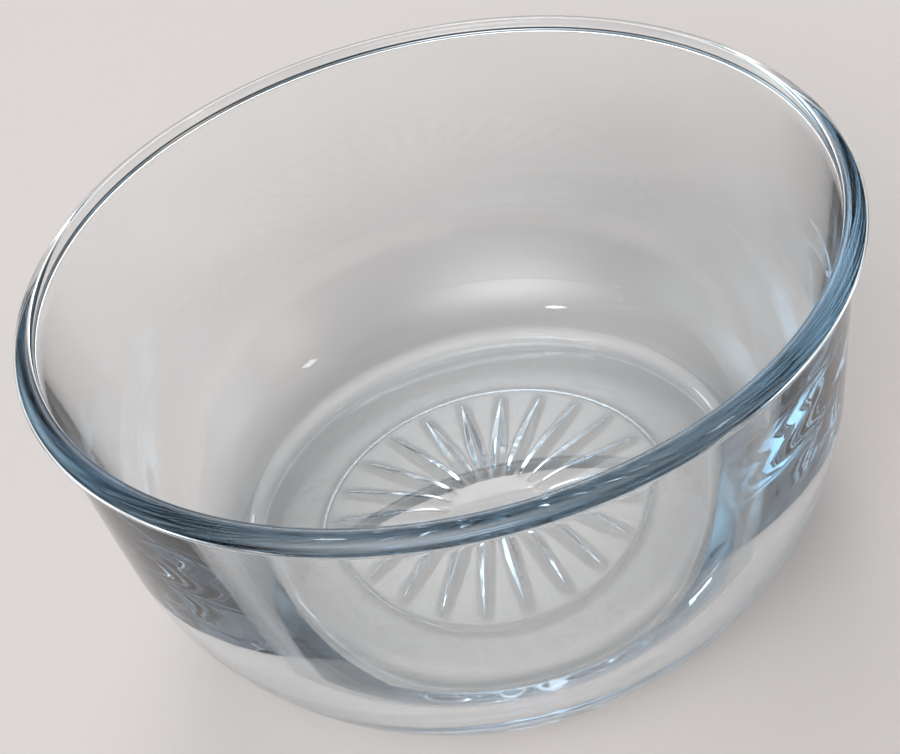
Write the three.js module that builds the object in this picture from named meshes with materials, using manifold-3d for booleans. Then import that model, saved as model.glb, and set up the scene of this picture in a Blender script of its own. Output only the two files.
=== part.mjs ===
// Dessert bowl of clear pressed glass: one piece, standing on its foot, open side up.
// Millimetres, +Z up, origin at the centre of the foot's resting plane.
import * as THREE from 'three';
import { mergeVertices } from 'three/addons/utils/BufferGeometryUtils.js';
import Module from 'manifold-3d';

// Overall sizes
const rimDiameter = 120;
const bowlHeight = 60;
const footDiameter = 77;

// Rolled rim: the top of the wall turns over into a lip that droops outwards, with round edges
const lipThickness = 1.7;
const lipLength = 3.6;
const lipDroopDegrees = 38;
const lipFaceRadius = 2.6;
const lipUndercutRadius = 0.3;

// Wall and heel: the glass thickens from the lip down to the heel
const wallThickness = 1.8;
const heelThickness = 3.8;
const wallTaperDegrees = 5.5;
const heelRadius = 45;
const footEdgeRadius = 4;

// Base: the floor inside, the ring that the bowl stands on, and the shallow recess within that ring
const baseThickness = 8;
const floorCornerRadius = 12;
const footRingWidth = 10;
const recessDepth = 0.5;
const recessEdgeSlope = 0.3;

// Star pressed up into the recess: rays of V section, pointed at both ends
const rayCount = 24;
const rayTipMargin = 1.1;
const starCenterRadius = 8;
const rayWidth = 2.9;
const rayDepth = 1.2;
const rayWidestShare = 0.3;

// Fineness of the facets
const turnSegments = 72;
const arcStepDegrees = 12;
const raySteps = 8;

// Look of the glass
const glassColor = 0xdfe9ea;
const glassRoughness = 0.05;
const glassMetalness = 0;

const degrees = Math.PI / 180;
const quarterTurn = Math.PI / 2;
const halfTurn = Math.PI;

// A profile point: x is the distance from the axis, y the height above the resting plane.
function point(x, y) {
  return new THREE.Vector2(x, y);
}

// Points of an arc about a centre, from one angle to another, measured from +x towards +y.
function arc(center, radius, from, to) {
  const steps = Math.max(2, Math.ceil(Math.abs(to - from) / (arcStepDegrees * degrees)));
  const points = [];
  for (let i = 0; i <= steps; i += 1) {
    const angle = from + ((to - from) * i) / steps;
    points.push(point(center.x + radius * Math.cos(angle), center.y + radius * Math.sin(angle)));
  }
  return points;
}

// Angle of the line from one point to another.
function heading(from, to) {
  return Math.atan2(to.y - from.y, to.x - from.x);
}

// The two points where a line, given by a start and a unit direction, crosses a circle, in order.
function crossings(start, direction, center, radius) {
  const offset = start.clone().sub(center);
  const along = offset.dot(direction);
  const half = Math.sqrt(along * along - offset.lengthSq() + radius * radius);
  return [-along - half, -along + half].map((way) => start.clone().addScaledVector(direction, way));
}

// Half section of the bowl: from the axis under the base, out over the rim, back to the axis on the floor.
function bowlProfile() {
  const taper = wallTaperDegrees * degrees;
  const down = point(-Math.sin(taper), -Math.cos(taper));
  const out = point(Math.cos(taper), -Math.sin(taper));

  // The lip's rounded face runs from its round top, over the wall, to its round tip.
  const droop = lipDroopDegrees * degrees;
  const lipRadius = lipThickness / 2;
  const lipRun = lipLength - lipThickness;
  const top = point(rimDiameter / 2 - lipRadius - lipRun * Math.cos(droop), bowlHeight - lipRadius);
  const tip = point(rimDiameter / 2 - lipRadius, top.y - lipRun * Math.sin(droop));
  const faceDepth = Math.sqrt((lipFaceRadius - lipRadius) ** 2 - (lipRun / 2) ** 2);
  const faceNormal = point(Math.sin(droop), Math.cos(droop));
  const face = top.clone().add(tip).divideScalar(2).addScaledVector(faceNormal, -faceDepth);
  const faceStart = heading(face, tip);
  const faceEnd = heading(face, top);
  const wallTop = point(top.x - lipRadius + wallThickness, top.y);

  // The heel's arc runs on from the wall and rolls into the rounded edge of the foot.
  const edge = point(footDiameter / 2, footEdgeRadius);
  const heelTrack = wallTop.clone().addScaledVector(out, -heelRadius);
  const [heel] = crossings(heelTrack, down, edge, heelRadius - footEdgeRadius);
  const edgeEnd = heading(heel, edge);

  // A hollow round joins the lip's tip to the wall.
  const undercutTrack = wallTop.clone().addScaledVector(out, lipUndercutRadius);
  const [, undercut] = crossings(undercutTrack, down, tip, lipRadius + lipUndercutRadius);
  const tipStart = heading(tip, undercut);

  // The inner wall is straight, from the lip's round top to where it touches the inner heel.
  const innerHeelRadius = heelRadius - heelThickness;
  const lean = Math.acos((innerHeelRadius + lipRadius) / heel.distanceTo(top));
  const innerTaper = lean - heading(heel, top);

  // A rounded corner joins the inner heel to the flat floor.
  const floorHeight = recessDepth + baseThickness;
  const cornerHeight = floorHeight + floorCornerRadius;
  const cornerTrack = point(heel.x, cornerHeight);
  const [, corner] = crossings(cornerTrack, point(1, 0), heel, innerHeelRadius - floorCornerRadius);
  const cornerStart = heading(heel, corner);

  return [
    point(0, recessDepth),
    point(recessRadius() - recessEdgeSlope, recessDepth),
    point(recessRadius(), 0),
    ...arc(edge, footEdgeRadius, -quarterTurn, edgeEnd),
    ...arc(heel, heelRadius, edgeEnd, -taper).slice(1),
    ...arc(undercut, lipUndercutRadius, halfTurn - taper, heading(undercut, tip)),
    ...arc(tip, lipRadius, tipStart, faceStart).slice(1),
    ...arc(face, lipFaceRadius, faceStart, faceEnd).slice(1),
    ...arc(top, lipRadius, faceEnd, halfTurn - innerTaper).slice(1),
    ...arc(heel, innerHeelRadius, -innerTaper, cornerStart),
    ...arc(corner, floorCornerRadius, cornerStart, -quarterTurn).slice(1),
    point(0, floorHeight),
  ];
}

// Radius of the recess at the resting plane, inside the foot's ring.
function recessRadius() {
  return footDiameter / 2 - footRingWidth;
}

// One ray of the star, lying outwards along +X in the recess: a spindle with a diamond section.
function rayCutter() {
  const outerRadius = recessRadius() - recessEdgeSlope - rayTipMargin;
  const length = outerRadius - starCenterRadius;
  const bend = Math.log(0.5) / Math.log(rayWidestShare);
  const profile = [point(0, starCenterRadius)];
  for (let i = 1; i < raySteps; i += 1) {
    const share = i / raySteps;
    const swell = Math.sin(Math.PI * share ** bend);
    profile.push(point(swell, starCenterRadius + length * share));
  }
  profile.push(point(0, outerRadius));
  const diamondSides = 4;
  const spindle = new THREE.LatheGeometry(profile, diamondSides);
  spindle.scale(rayWidth / 2, 1, rayDepth);
  spindle.rotateZ(-quarterTurn);
  spindle.translate(0, 0, recessDepth);
  return spindle;
}

const wasm = await Module();
wasm.setup();

// A three.js geometry as a solid that can be cut, with its shared corners merged and empty faces dropped.
function solidFrom(geometry) {
  const bare = new THREE.BufferGeometry();
  bare.setAttribute('position', geometry.getAttribute('position'));
  bare.setIndex(geometry.getIndex());
  const merged = mergeVertices(bare);
  const corners = merged.getIndex().array;
  const kept = [];
  for (let i = 0; i < corners.length; i += 3) {
    const [a, b, c] = corners.slice(i, i + 3);
    if (a !== b && b !== c && c !== a) {
      kept.push(a, b, c);
    }
  }
  const mesh = new wasm.Mesh({
    numProp: 3,
    vertProperties: new Float32Array(merged.getAttribute('position').array),
    triVerts: new Uint32Array(kept),
  });
  return new wasm.Manifold(mesh);
}

// A cut solid back as a three.js geometry.
function geometryFrom(solid) {
  const mesh = solid.getMesh();
  const geometry = new THREE.BufferGeometry();
  geometry.setAttribute('position', new THREE.BufferAttribute(new Float32Array(mesh.vertProperties), 3));
  geometry.setIndex(new THREE.BufferAttribute(new Uint32Array(mesh.triVerts), 1));
  geometry.computeVertexNormals();
  return geometry;
}

// The bowl turned about +Z, with the star's rays cut into the recess under its base.
function glassBowl() {
  const turned = new THREE.LatheGeometry(bowlProfile(), turnSegments).rotateX(quarterTurn);
  let bowl = solidFrom(turned);
  for (let i = 0; i < rayCount; i += 1) {
    const turn = (2 * Math.PI * i) / rayCount;
    bowl = bowl.subtract(solidFrom(rayCutter().rotateZ(turn)));
  }
  const glass = new THREE.MeshStandardMaterial({
    color: glassColor,
    roughness: glassRoughness,
    metalness: glassMetalness,
  });
  const mesh = new THREE.Mesh(geometryFrom(bowl), glass);
  mesh.name = 'glass_bowl';
  return mesh;
}

const dessertBowl = new THREE.Group();
dessertBowl.add(glassBowl());

export default dessertBowl;
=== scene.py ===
import math

import bpy
from mathutils import Matrix, Vector


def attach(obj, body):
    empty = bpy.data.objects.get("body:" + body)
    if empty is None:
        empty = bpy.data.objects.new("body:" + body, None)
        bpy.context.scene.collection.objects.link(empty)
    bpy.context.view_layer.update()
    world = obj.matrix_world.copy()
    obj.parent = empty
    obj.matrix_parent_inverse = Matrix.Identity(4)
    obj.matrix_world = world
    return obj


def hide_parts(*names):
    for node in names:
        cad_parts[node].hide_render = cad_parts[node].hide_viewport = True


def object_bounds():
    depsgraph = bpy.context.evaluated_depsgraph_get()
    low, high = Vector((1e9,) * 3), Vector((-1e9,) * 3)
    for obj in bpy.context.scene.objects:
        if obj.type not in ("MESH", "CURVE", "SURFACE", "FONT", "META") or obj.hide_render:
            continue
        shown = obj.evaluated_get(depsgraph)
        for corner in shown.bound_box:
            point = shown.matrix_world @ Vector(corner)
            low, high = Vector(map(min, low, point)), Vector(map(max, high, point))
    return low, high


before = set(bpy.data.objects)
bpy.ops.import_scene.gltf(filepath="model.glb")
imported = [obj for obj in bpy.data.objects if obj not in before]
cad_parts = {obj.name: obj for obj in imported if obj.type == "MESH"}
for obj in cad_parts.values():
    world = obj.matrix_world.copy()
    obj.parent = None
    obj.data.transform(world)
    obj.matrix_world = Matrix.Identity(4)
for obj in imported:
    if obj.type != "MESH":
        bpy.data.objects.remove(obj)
cadLow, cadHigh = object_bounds()
print("frame loaded, CAD box", [round(v, 4) for v in (*cadLow, *cadHigh)])


# half section, in metres, as on the CAD bowl; the rim's width and the height come from the frame
bowl = {
    "rimRadius": cadHigh.x,
    "height": cadHigh.z,
    "footRadius": 0.0385,
    "lipRadius": 0.00085,  # of its round top and its round tip
    "lipRun": 0.0019,  # from the top's centre to the tip's
    "lipDroop": math.radians(38),
    "lipFace": 0.0026,  # radius of the rounded face between them
    "lipUndercut": 0.0003,
    "wall": 0.0018,  # the glass thickens from the lip down to the heel
    "heelWall": 0.0038,
    "taper": math.radians(5.5),
    "heelRadius": 0.045,
    "footEdge": 0.004,
    "base": 0.008,
    "floorCorner": 0.012,
    "footRing": 0.010,
    "recess": 0.0005,
    "recessSlope": 0.0003,
    "softEdge": 0.00015,  # fire-polished round on the recess's two edges
    "waveFade": 0.7,  # below 1 the waves inside reach further towards the lip and the corner
    "rows": {  # rows of faces along each stretch
        "star": 44,
        "ring": 8,
        "footEdge": 8,
        "heel": 30,
        "wall": 16,
        "undercut": 10,
        "lipTip": 16,
        "lipFace": 14,
        "lipTop": 14,
        "innerWall": 20,
        "innerHeel": 18,
        "corner": 20,
        "floor": 22,
    },
}


def arcPoints(center, radius, start, end, count):
    angles = [start + (end - start) * i / count for i in range(count + 1)]
    return [(center[0] + radius * math.cos(a), center[1] + radius * math.sin(a)) for a in angles]


def linePoints(start, end, count):
    return [tuple(Vector(start).lerp(Vector(end), i / count)) for i in range(count + 1)]


def heading(start, end):
    return math.atan2(end[1] - start[1], end[0] - start[0])


def crossing(start, direction, center, radius, far):
    # where a line first, or for far last, meets a circle
    offset = Vector(start) - Vector(center)
    along = offset.dot(direction)
    half = math.sqrt(along * along - offset.length_squared + radius * radius)
    return Vector(start) + direction * (half - along if far else -half - along)


def bowlRounds():
    # centres of the section's rounds, and the slope of the inner wall
    b = bowl
    down = Vector((-math.sin(b["taper"]), -math.cos(b["taper"])))
    out = Vector((math.cos(b["taper"]), -math.sin(b["taper"])))
    lipWay = b["lipRun"] * Vector((math.cos(b["lipDroop"]), -math.sin(b["lipDroop"])))
    top = Vector((b["rimRadius"] - b["lipRadius"] - lipWay.x, b["height"] - b["lipRadius"]))
    tip = top + lipWay
    faceDepth = math.sqrt((b["lipFace"] - b["lipRadius"]) ** 2 - b["lipRun"] ** 2 / 4)
    face = top.lerp(tip, 0.5) - faceDepth * Vector((math.sin(b["lipDroop"]), math.cos(b["lipDroop"])))
    wallTop = Vector((top.x - b["lipRadius"] + b["wall"], top.y))

    # the heel's arc runs on from the wall and rolls into the foot's edge
    edge = Vector((b["footRadius"], b["footEdge"]))
    heelTrack = wallTop - out * b["heelRadius"]
    heel = crossing(heelTrack, down, edge, b["heelRadius"] - b["footEdge"], False)
    undercutTrack = wallTop + out * b["lipUndercut"]
    undercut = crossing(undercutTrack, down, tip, b["lipRadius"] + b["lipUndercut"], True)

    # the straight inner wall runs from the lip's round top to where it touches the inner heel
    innerRadius = b["heelRadius"] - b["heelWall"]
    lean = math.acos((innerRadius + b["lipRadius"]) / (top - heel).length)
    innerTaper = lean - heading(heel, top)

    cornerTrack = Vector((heel.x, b["recess"] + b["base"] + b["floorCorner"]))
    corner = crossing(cornerTrack, Vector((1, 0)), heel, innerRadius - b["floorCorner"], True)
    return top, tip, face, edge, heel, undercut, corner, innerTaper


def bowlProfile():
    # from the axis under the base, out over the rim, back to the axis on the floor
    b = bowl
    rows = b["rows"]
    quarter = math.pi / 2
    top, tip, face, edge, heel, undercut, corner, innerTaper = bowlRounds()
    edgeEnd = heading(heel, edge)
    cornerStart = heading(heel, corner)
    faceStart, faceEnd = heading(face, tip), heading(face, top)
    innerRadius = b["heelRadius"] - b["heelWall"]
    floorHeight = b["recess"] + b["base"]
    recessRadius = b["footRadius"] - b["footRing"]
    recessTop = recessRadius - b["recessSlope"]
    soft = b["softEdge"]
    near, wide = 0.3 * soft, 0.7 * soft  # the middle points of the soft edges

    heelArc = arcPoints(heel, b["heelRadius"], edgeEnd, -b["taper"], rows["heel"])
    undercutEnd = heading(undercut, tip)
    undercutArc = arcPoints(undercut, b["lipUndercut"], math.pi - b["taper"], undercutEnd, rows["undercut"])
    topArc = arcPoints(top, b["lipRadius"], faceEnd, math.pi - innerTaper, rows["lipTop"])
    innerArc = arcPoints(heel, innerRadius, -innerTaper, cornerStart, rows["innerHeel"])
    stretches = {
        "star": linePoints((0, b["recess"]), (recessTop - soft, b["recess"]), rows["star"]),
        "step": [
            (recessTop, b["recess"] - near),
            (recessTop + wide, b["recess"] - soft),
            (recessRadius - wide, soft),
            (recessRadius, near),
        ],
        "ring": linePoints((recessRadius + soft, 0), edge - Vector((0, b["footEdge"])), rows["ring"]),
        "footEdge": arcPoints(edge, b["footEdge"], -quarter, edgeEnd, rows["footEdge"])[1:],
        "heel": heelArc[1:],
        "wall": linePoints(heelArc[-1], undercutArc[0], rows["wall"])[1:],
        "undercut": undercutArc[1:],
        "lipTip": arcPoints(tip, b["lipRadius"], heading(tip, undercut), faceStart, rows["lipTip"])[1:],
        "lipFace": arcPoints(face, b["lipFace"], faceStart, faceEnd, rows["lipFace"])[1:],
        "lipTop": topArc[1:],
        "innerWall": linePoints(topArc[-1], innerArc[0], rows["innerWall"])[1:],
        "innerHeel": innerArc[1:],
        "corner": arcPoints(corner, b["floorCorner"], cornerStart, -quarter, rows["corner"])[1:],
        "floor": linePoints((corner.x, floorHeight), (0, floorHeight), rows["floor"])[1:],
    }
    points = [p for stretch in stretches.values() for p in stretch]
    names = [name for name, stretch in stretches.items() for p in stretch]
    inStar = [float(name == "star") for name in names]
    wavy = [0.0] * len(points)
    first = names.index("innerWall")
    count = names.count("innerWall") + names.count("innerHeel")
    for i in range(count):  # the inside waves most at mid wall, and not at all at the lip and the corner
        wavy[first + i] = math.sin(math.pi * (i + 0.5) / count) ** b["waveFade"]
    return points, inStar, wavy


# the star's rays and the waves that pressing leaves on the inside
star = {
    "Ray Count": 24,
    "Columns": 12,  # mesh columns for each ray
    "Inner Radius": 0.008,
    "Outer Radius": 0.0269,
    "Ray Width": 0.0029,
    "Ray Depth": 0.0012,
    "Widest Share": 0.3,  # where along a ray it is widest
    "Groove Share": 2 / 3,  # share of the columns that lie in the groove
    "Groove Limit": 0.92,  # most of the pitch that a groove may take
    "Tip Width": 0.00012,
    "Wave Height": 0.00002,
    "Wave Length": 0.026,
    "Wave Stretch": 0.6,  # below 1 the waves run longer up the wall than round it
    "Weld Distance": 2e-6,
}


def addMath(tree, operation, *values):
    node = tree.nodes.new("ShaderNodeMath")
    node.operation = operation
    for socket, value in zip(node.inputs, values):
        if isinstance(value, (int, float)):
            socket.default_value = value
        else:
            tree.links.new(value, socket)
    return node.outputs[0]


def addNode(tree, kind, links=None, **settings):
    node = tree.nodes.new(kind)
    for name, value in settings.items():
        setattr(node, name, value)
    for name, source in (links or {}).items():
        if isinstance(source, bpy.types.NodeSocket):
            tree.links.new(source, node.inputs[name])
        else:
            node.inputs[name].default_value = source
    return node


def sampleRow(tree, section, value, row, kind):
    # a value of the half section at one of its rows
    links = {"Geometry": section, "Value": value, "Index": row}
    return addNode(tree, "GeometryNodeSampleIndex", links, data_type=kind, domain="POINT").outputs[0]


def rowMark(tree, section, name, row):
    mark = addNode(tree, "GeometryNodeInputNamedAttribute", {"Name": name}, data_type="FLOAT")
    return sampleRow(tree, section, mark.outputs[0], row, "FLOAT")


def pressRays(m, source, column, radius, inStar):
    # the angle of each column, and how far up a ray presses it
    # across one ray: side runs from -1 to 1, with the groove's middle at 0
    pitch = m("DIVIDE", 2 * math.pi, source["Ray Count"])
    sector = m("FLOOR", m("DIVIDE", m("ADD", column, 0.001), source["Columns"]))  # clear of rounding
    share = m("SUBTRACT", m("DIVIDE", column, source["Columns"]), sector)
    side = m("SUBTRACT", m("MULTIPLY", share, 2), 1)
    away = m("ABSOLUTE", side)
    sign = m("SIGN", side)

    # along one ray: swell is 0 at both ends and 1 where it is widest
    length = m("SUBTRACT", source["Outer Radius"], source["Inner Radius"])
    along = m("DIVIDE", m("SUBTRACT", radius, source["Inner Radius"]), length)
    along = m("MINIMUM", m("MAXIMUM", along, 0), 1)
    bend = m("DIVIDE", math.log(0.5), m("LOGARITHM", source["Widest Share"], math.e))
    swell = m("SINE", m("MULTIPLY", m("POWER", along, bend), math.pi))
    swell = m("MULTIPLY", m("MAXIMUM", swell, 0), inStar)
    halfWidth = m("MULTIPLY", m("ADD", m("MULTIPLY", source["Ray Width"], swell), source["Tip Width"]), 0.5)
    arcRoom = m("MAXIMUM", m("MULTIPLY", m("MULTIPLY", radius, pitch), 0.5), 1e-6)  # never 0, at the axis
    isOpen = m("GREATER_THAN", swell, 0.0001)
    edge = m("MINIMUM", m("DIVIDE", halfWidth, arcRoom), source["Groove Limit"])
    plain = m("MULTIPLY", source["Groove Share"], m("SUBTRACT", 1, isOpen))
    edge = m("ADD", m("MULTIPLY", edge, isOpen), plain)

    # columns inside the groove are drawn together over its width, the rest fill the gap to the next ray
    groove = source["Groove Share"]
    inner = m("MULTIPLY", m("DIVIDE", away, groove), edge)
    beyond = m("DIVIDE", m("SUBTRACT", away, groove), m("SUBTRACT", 1, groove))
    outer = m("ADD", edge, m("MULTIPLY", beyond, m("SUBTRACT", 1, edge)))
    isOuter = m("GREATER_THAN", away, groove)
    spread = m("ADD", m("MULTIPLY", inner, m("SUBTRACT", 1, isOuter)), m("MULTIPLY", outer, isOuter))
    angle = m("MULTIPLY", m("ADD", sector, m("MULTIPLY", m("MULTIPLY", sign, spread), 0.5)), pitch)
    vee = m("MAXIMUM", m("SUBTRACT", 1, m("DIVIDE", away, groove)), 0)
    depth = m("MULTIPLY", m("MULTIPLY", vee, swell), source["Ray Depth"])
    return angle, depth


def turnedSpot(tree, m, radius, angle, height):
    spot = {
        "X": m("MULTIPLY", radius, m("COSINE", angle)),
        "Y": m("MULTIPLY", radius, m("SINE", angle)),
        "Z": height,
    }
    return addNode(tree, "ShaderNodeCombineXYZ", spot).outputs[0]


def waveSwing(tree, m, source, radius, angle, height):
    # how far the waves push the inside in or out
    flow = turnedSpot(tree, m, radius, angle, m("MULTIPLY", height, source["Wave Stretch"]))
    waves = addNode(tree, "ShaderNodeTexNoise", {
        "Vector": flow,
        "Scale": m("DIVIDE", 1, source["Wave Length"]),
        "Detail": 1.0,
    })
    fullHeight = m("MULTIPLY", source["Wave Height"], 4)  # the noise keeps within about 0.25 of its middle
    return m("MULTIPLY", m("SUBTRACT", waves.outputs[0], 0.5), fullHeight)


def bowlTree():
    # turns a half section about Z and presses the star's rays into the rows marked inStar
    tree = bpy.data.node_groups.new("pressedBowl", "GeometryNodeTree")
    face = tree.interface
    face.new_socket("Section", in_out="INPUT", socket_type="NodeSocketGeometry")
    for name, value in star.items():
        kind = "NodeSocketInt" if isinstance(value, int) else "NodeSocketFloat"
        face.new_socket(name, in_out="INPUT", socket_type=kind)
    face.new_socket("Glass", in_out="INPUT", socket_type="NodeSocketMaterial")
    face.new_socket("Bowl", in_out="OUTPUT", socket_type="NodeSocketGeometry")
    source = tree.nodes.new("NodeGroupInput").outputs

    def m(operation, *values):
        return addMath(tree, operation, *values)

    # a flat grid, with a row for each point of the section and a column for each step round the axis
    size = addNode(tree, "GeometryNodeAttributeDomainSize", {"Geometry": source["Section"]})
    rows = size.outputs["Point Count"]
    around = m("ADD", m("MULTIPLY", source["Ray Count"], source["Columns"]), 1)
    grid = addNode(tree, "GeometryNodeMeshGrid", {"Vertices X": around, "Vertices Y": rows})
    index = tree.nodes.new("GeometryNodeInputIndex").outputs[0]
    column = m("FLOOR", m("DIVIDE", m("ADD", index, 0.5), rows))  # clear of rounding
    row = m("SUBTRACT", index, m("MULTIPLY", column, rows))

    place = tree.nodes.new("GeometryNodeInputPosition").outputs[0]
    section = sampleRow(tree, source["Section"], place, row, "FLOAT_VECTOR")
    inStar = rowMark(tree, source["Section"], "inStar", row)
    wavy = rowMark(tree, source["Section"], "wavy", row)
    split = addNode(tree, "ShaderNodeSeparateXYZ", {0: section})
    radius, height = split.outputs["X"], split.outputs["Z"]

    angle, depth = pressRays(m, source, column, radius, inStar)
    swing = waveSwing(tree, m, source, radius, angle, height)
    radius = m("ADD", radius, m("MULTIPLY", swing, wavy))
    spot = turnedSpot(tree, m, radius, angle, m("ADD", height, depth))

    steps = {
        "GeometryNodeSetPosition": {"Position": spot},
        "GeometryNodeMergeByDistance": {"Distance": source["Weld Distance"]},
        "GeometryNodeSetShadeSmooth": {},
        "GeometryNodeRealizeInstances": {},
        "GeometryNodeSetMaterial": {"Material": source["Glass"]},
    }
    shape = grid.outputs["Mesh"]
    for kind, links in steps.items():
        shape = addNode(tree, kind, {"Geometry": shape, **links}).outputs[0]
    result = tree.nodes.new("NodeGroupOutput")
    tree.links.new(shape, result.inputs["Bowl"])
    return tree


glass = {
    "tints": ((0.988, 0.996, 0.996, 1), (0.974, 0.988, 0.990, 1)),
    "ior": 1.52,
    "absorbColor": (0.25, 0.45, 0.58, 1),
    "absorbDensity": 13.0,
    "smudge": 0.03,  # roughness that handling leaves in patches
    "scuff": 0.22,  # roughness of the worn spots on the ring it stands on
    "scuffTop": (0.0001, 0.0007),  # the scuffs fade out over this height
    "rippleHeight": 0.000015,
    # patches of noise: scale, detail, and the noise that counts as none and as full
    "tintPatches": (35, 2, 0.3, 0.7),
    "scuffPatches": (700, 4, 0.45, 0.65),
    "smudgePatches": (55, 4, 0.62, 0.82),
    "ripplePatches": (80, 1, 0, 1),
}


def glassMaterial():
    material = bpy.data.materials.new("clearPressedGlass")
    material.use_nodes = True
    tree = material.node_tree
    shader = tree.nodes["Principled BSDF"]
    where = tree.nodes.new("ShaderNodeTexCoord").outputs["Object"]

    def fade(value, low, high):
        span = {"Value": value, "From Min": low, "From Max": high}
        return addNode(tree, "ShaderNodeMapRange", span).outputs[0]

    def patches(name):
        scale, detail, low, high = glass[name]
        noise = addNode(tree, "ShaderNodeTexNoise", {"Vector": where, "Scale": scale, "Detail": detail})
        return fade(noise.outputs[0], low, high)

    # slow changes of tint
    tint = addNode(tree, "ShaderNodeMix", {0: patches("tintPatches")}, data_type="RGBA")
    tint.inputs[6].default_value, tint.inputs[7].default_value = glass["tints"]  # the colours A and B
    tree.links.new(tint.outputs[2], shader.inputs["Base Color"])

    # smudges all over, and a scuffed foot
    height = addNode(tree, "ShaderNodeSeparateXYZ", {0: where}).outputs["Z"]
    nearFoot = addMath(tree, "SUBTRACT", 1, fade(height, *glass["scuffTop"]))
    worn = addMath(tree, "MULTIPLY", patches("scuffPatches"), nearFoot)
    smudges = addMath(tree, "MULTIPLY", patches("smudgePatches"), glass["smudge"])
    rough = addMath(tree, "ADD", addMath(tree, "MULTIPLY", worn, glass["scuff"]), smudges)
    tree.links.new(rough, shader.inputs["Roughness"])

    ripple = {"Height": patches("ripplePatches"), "Strength": 1.0, "Distance": glass["rippleHeight"]}
    tree.links.new(addNode(tree, "ShaderNodeBump", ripple).outputs[0], shader.inputs["Normal"])
    shader.inputs["IOR"].default_value = glass["ior"]
    shader.inputs["Transmission Weight"].default_value = 1
    absorb = addNode(tree, "ShaderNodeVolumeAbsorption", {
        "Color": glass["absorbColor"],
        "Density": glass["absorbDensity"],
    })
    out = tree.nodes["Material Output"]
    tree.links.new(absorb.outputs[0], out.inputs["Volume"])
    return material


def makeBowl():
    points, inStar, wavy = bowlProfile()
    section = bpy.data.meshes.new("bowlSection")
    section.from_pydata([(x, 0, z) for x, z in points], [(i, i + 1) for i in range(len(points) - 1)], [])
    section.attributes.new("inStar", "FLOAT", "POINT").data.foreach_set("value", inStar)
    section.attributes.new("wavy", "FLOAT", "POINT").data.foreach_set("value", wavy)
    piece = bpy.data.objects.new("glassBowl", section)
    bpy.context.scene.collection.objects.link(piece)
    tree = bowlTree()
    turning = piece.modifiers.new("pressedBowl", "NODES")
    turning.node_group = tree
    values = {**star, "Glass": glassMaterial()}
    for item in tree.interface.items_tree:
        if item.in_out == "INPUT" and item.name in values:
            turning[item.identifier] = values[item.name]
    shaped = piece.evaluated_get(bpy.context.evaluated_depsgraph_get())
    mesh = bpy.data.meshes.new_from_object(shaped)
    piece.modifiers.clear()
    piece.data = mesh
    print("bowl turned:", len(mesh.vertices), "corners,", len(mesh.polygons), "faces")
    return piece


bowlPiece = makeBowl()
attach(bowlPiece, "root")
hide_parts("glass_bowl")


# camera fitted to the rim, the outline and the star in the 900 x 754 picture; angles in degrees
shot = {
    "pictureWidth": 900,
    "focalPixels": 1679,
    "aimHeight": 0.0582,  # the rim's widest circle
    "distance": 0.23608,
    "elevation": 34.70,
    "roll": -14.06,
    "yaw": -0.414,
    "pitch": 4.718,
    "turn": -2.73,  # about the bowl's axis, to meet the star's rays
    "sensor": 36,
    "clip": (0.01, 50),
}


def makeCamera():
    lens = bpy.data.cameras.new("photoCamera")
    lens.sensor_width = shot["sensor"]
    lens.lens = shot["sensor"] * shot["focalPixels"] / shot["pictureWidth"]
    lens.clip_start, lens.clip_end = shot["clip"]
    camera = bpy.data.objects.new("photoCamera", lens)
    bpy.context.scene.collection.objects.link(camera)
    elevation = math.radians(shot["elevation"])
    back = Vector((0, -math.cos(elevation), math.sin(elevation)))
    right = Vector((1, 0, 0))
    basis = Matrix((right, back.cross(right), back)).transposed()
    aim = (
        Matrix.Rotation(-math.radians(shot["roll"]), 3, "Z")
        @ Matrix.Rotation(math.radians(shot["pitch"]), 3, "X")
        @ Matrix.Rotation(math.radians(shot["yaw"]), 3, "Y")
    )
    turn = Matrix.Rotation(math.radians(shot["turn"]), 3, "Z")
    stand = Matrix.Translation(Vector((0, 0, shot["aimHeight"])) + turn @ back * shot["distance"])
    camera.matrix_world = stand @ (turn @ basis @ aim.transposed()).to_4x4()
    bpy.context.scene.camera = camera
    print("camera set, lens", round(lens.lens, 2), "mm")


makeCamera()


studio = {
    "floorColor": (0.74, 0.70, 0.675, 1),
    "floorRoughness": 0.9,
    "floorSpecular": 0.1,
    "floorSize": 0.56,
    "floorGap": 0.0002,  # thin air gap under the foot
    "sky": {  # colour of the surroundings by height, dark at the horizon to draw the glass's edges
        0.05: (0.015, 0.022, 0.03, 1),
        0.14: (0.035, 0.05, 0.065, 1),
        0.45: (0.06, 0.07, 0.08, 1),
        1.0: (0.14, 0.14, 0.15, 1),
    },
    # light turns many times inside thick glass
    "bounces": {"max_bounces": 24, "glossy_bounces": 16, "transmission_bounces": 24},
}

# soft lights without an edge: azimuth from +X and elevation in degrees, narrowness, strength, colour
glows = {
    "key": (240, 36, 9, 5.1, (1.0, 0.98, 0.97)),
    "back": (88, 46, 30, 5.4, (1.0, 0.95, 0.93)),
    "left": (178, 8, 40, 0.95, (0.72, 0.94, 1.0)),
    "backLeft": (146, 11, 36, 3.6, (0.60, 0.86, 1.0)),
    "backRight": (78, 20, 40, 1.4, (0.70, 0.85, 1.0)),
    "right": (325, 7, 40, 1.1, (1.0, 0.86, 0.77)),
    "farRight": (0, 14, 30, 0.7, (0.45, 0.75, 1.0)),
}

# small lamps for the bright glints: azimuth and elevation as above, distance, width, height, watts
lamps = {
    "ceiling": (83.5, 41, 1.5, 0.06, 0.025, 0.06),
    "left": (195, 67, 1.5, 0.10, 0.10, 0.5),
    "right": (330, 40, 1.5, 0.12, 0.16, 0.5),
}


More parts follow.
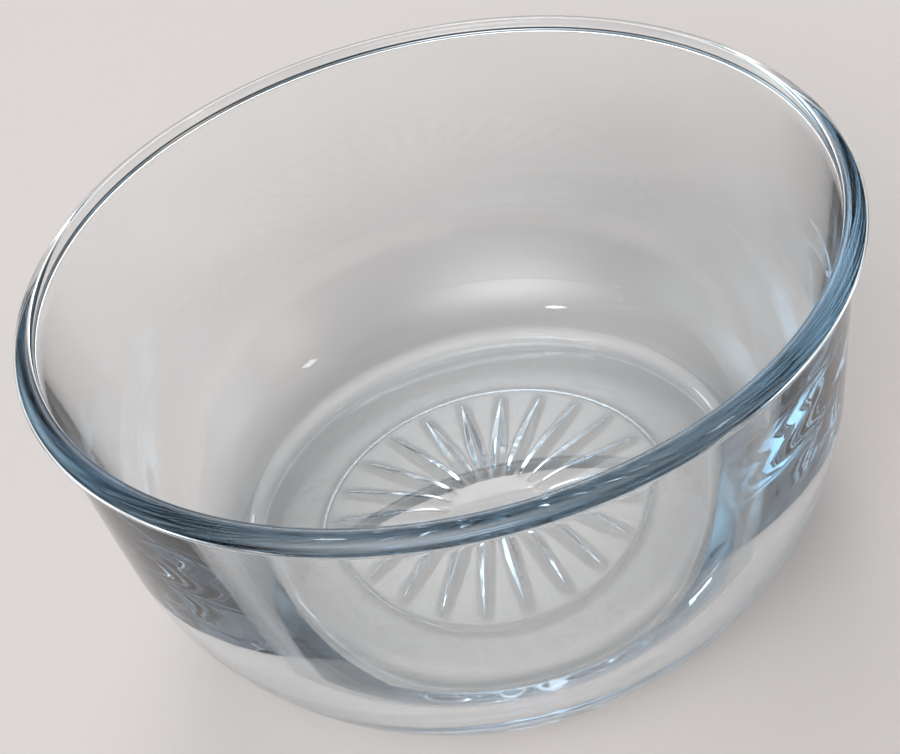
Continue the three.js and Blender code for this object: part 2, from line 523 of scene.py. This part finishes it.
def skyDirection(azimuth, elevation):
    raised = Matrix.Rotation(-math.radians(elevation), 3, "Y") @ Vector((1, 0, 0))
    return Matrix.Rotation(math.radians(azimuth), 3, "Z") @ raised


def makeFloor():
    half = studio["floorSize"] / 2
    z = -studio["floorGap"]
    corners = [(-half, -half, z), (half, -half, z), (half, half, z), (-half, half, z)]
    mesh = bpy.data.meshes.new("floor")
    mesh.from_pydata(corners, [], [(0, 1, 2, 3)])
    floor = bpy.data.objects.new("floor", mesh)
    bpy.context.scene.collection.objects.link(floor)
    material = bpy.data.materials.new("paleFloor")
    material.use_nodes = True
    shader = material.node_tree.nodes["Principled BSDF"]
    shader.inputs["Base Color"].default_value = studio["floorColor"]
    shader.inputs["Roughness"].default_value = studio["floorRoughness"]
    shader.inputs["Specular IOR Level"].default_value = studio["floorSpecular"]
    mesh.materials.append(material)


def makeWorld():
    world = bpy.data.worlds.new("softStudio")
    bpy.context.scene.world = world
    world.use_nodes = True
    tree = world.node_tree
    where = tree.nodes.new("ShaderNodeTexCoord").outputs["Generated"]
    split = addNode(tree, "ShaderNodeSeparateXYZ", {0: where})
    ramp = addNode(tree, "ShaderNodeValToRGB", {"Fac": split.outputs["Z"]})
    stops = ramp.color_ramp.elements
    while len(stops) < len(studio["sky"]):
        stops.new(0.5)
    for stop, (place, color) in zip(stops, studio["sky"].items()):
        stop.position, stop.color = place, color

    def vectorMath(operation, links):
        return addNode(tree, "ShaderNodeVectorMath", links, operation=operation).outputs

    total = ramp.outputs["Color"]
    for azimuth, elevation, narrowness, strength, color in glows.values():
        toward = vectorMath("DOT_PRODUCT", {0: where, 1: skyDirection(azimuth, elevation)})["Value"]
        share = addMath(tree, "POWER", addMath(tree, "MAXIMUM", toward, 0), narrowness)
        glow = vectorMath("SCALE", {0: Vector(color) * strength, "Scale": share})[0]
        total = vectorMath("ADD", {0: total, 1: glow})[0]
    tree.links.new(total, tree.nodes["Background"].inputs["Color"])


def makeLamps():
    for name, (azimuth, elevation, distance, width, height, watts) in lamps.items():
        light = bpy.data.lights.new(name, "AREA")
        light.shape = "RECTANGLE"
        light.size = width
        light.size_y = height
        light.energy = watts
        lamp = bpy.data.objects.new(name, light)
        bpy.context.scene.collection.objects.link(lamp)
        lamp.location = skyDirection(azimuth, elevation) * distance
        lamp.rotation_euler = (-lamp.location).to_track_quat("-Z", "Y").to_euler()


makeFloor()
makeWorld()
makeLamps()
bpy.context.scene.view_settings.view_transform = "Standard"
for name, count in studio["bounces"].items():
    setattr(bpy.context.scene.cycles, name, count)
print("studio lit by", len(glows), "glows and", len(lamps), "lamps")
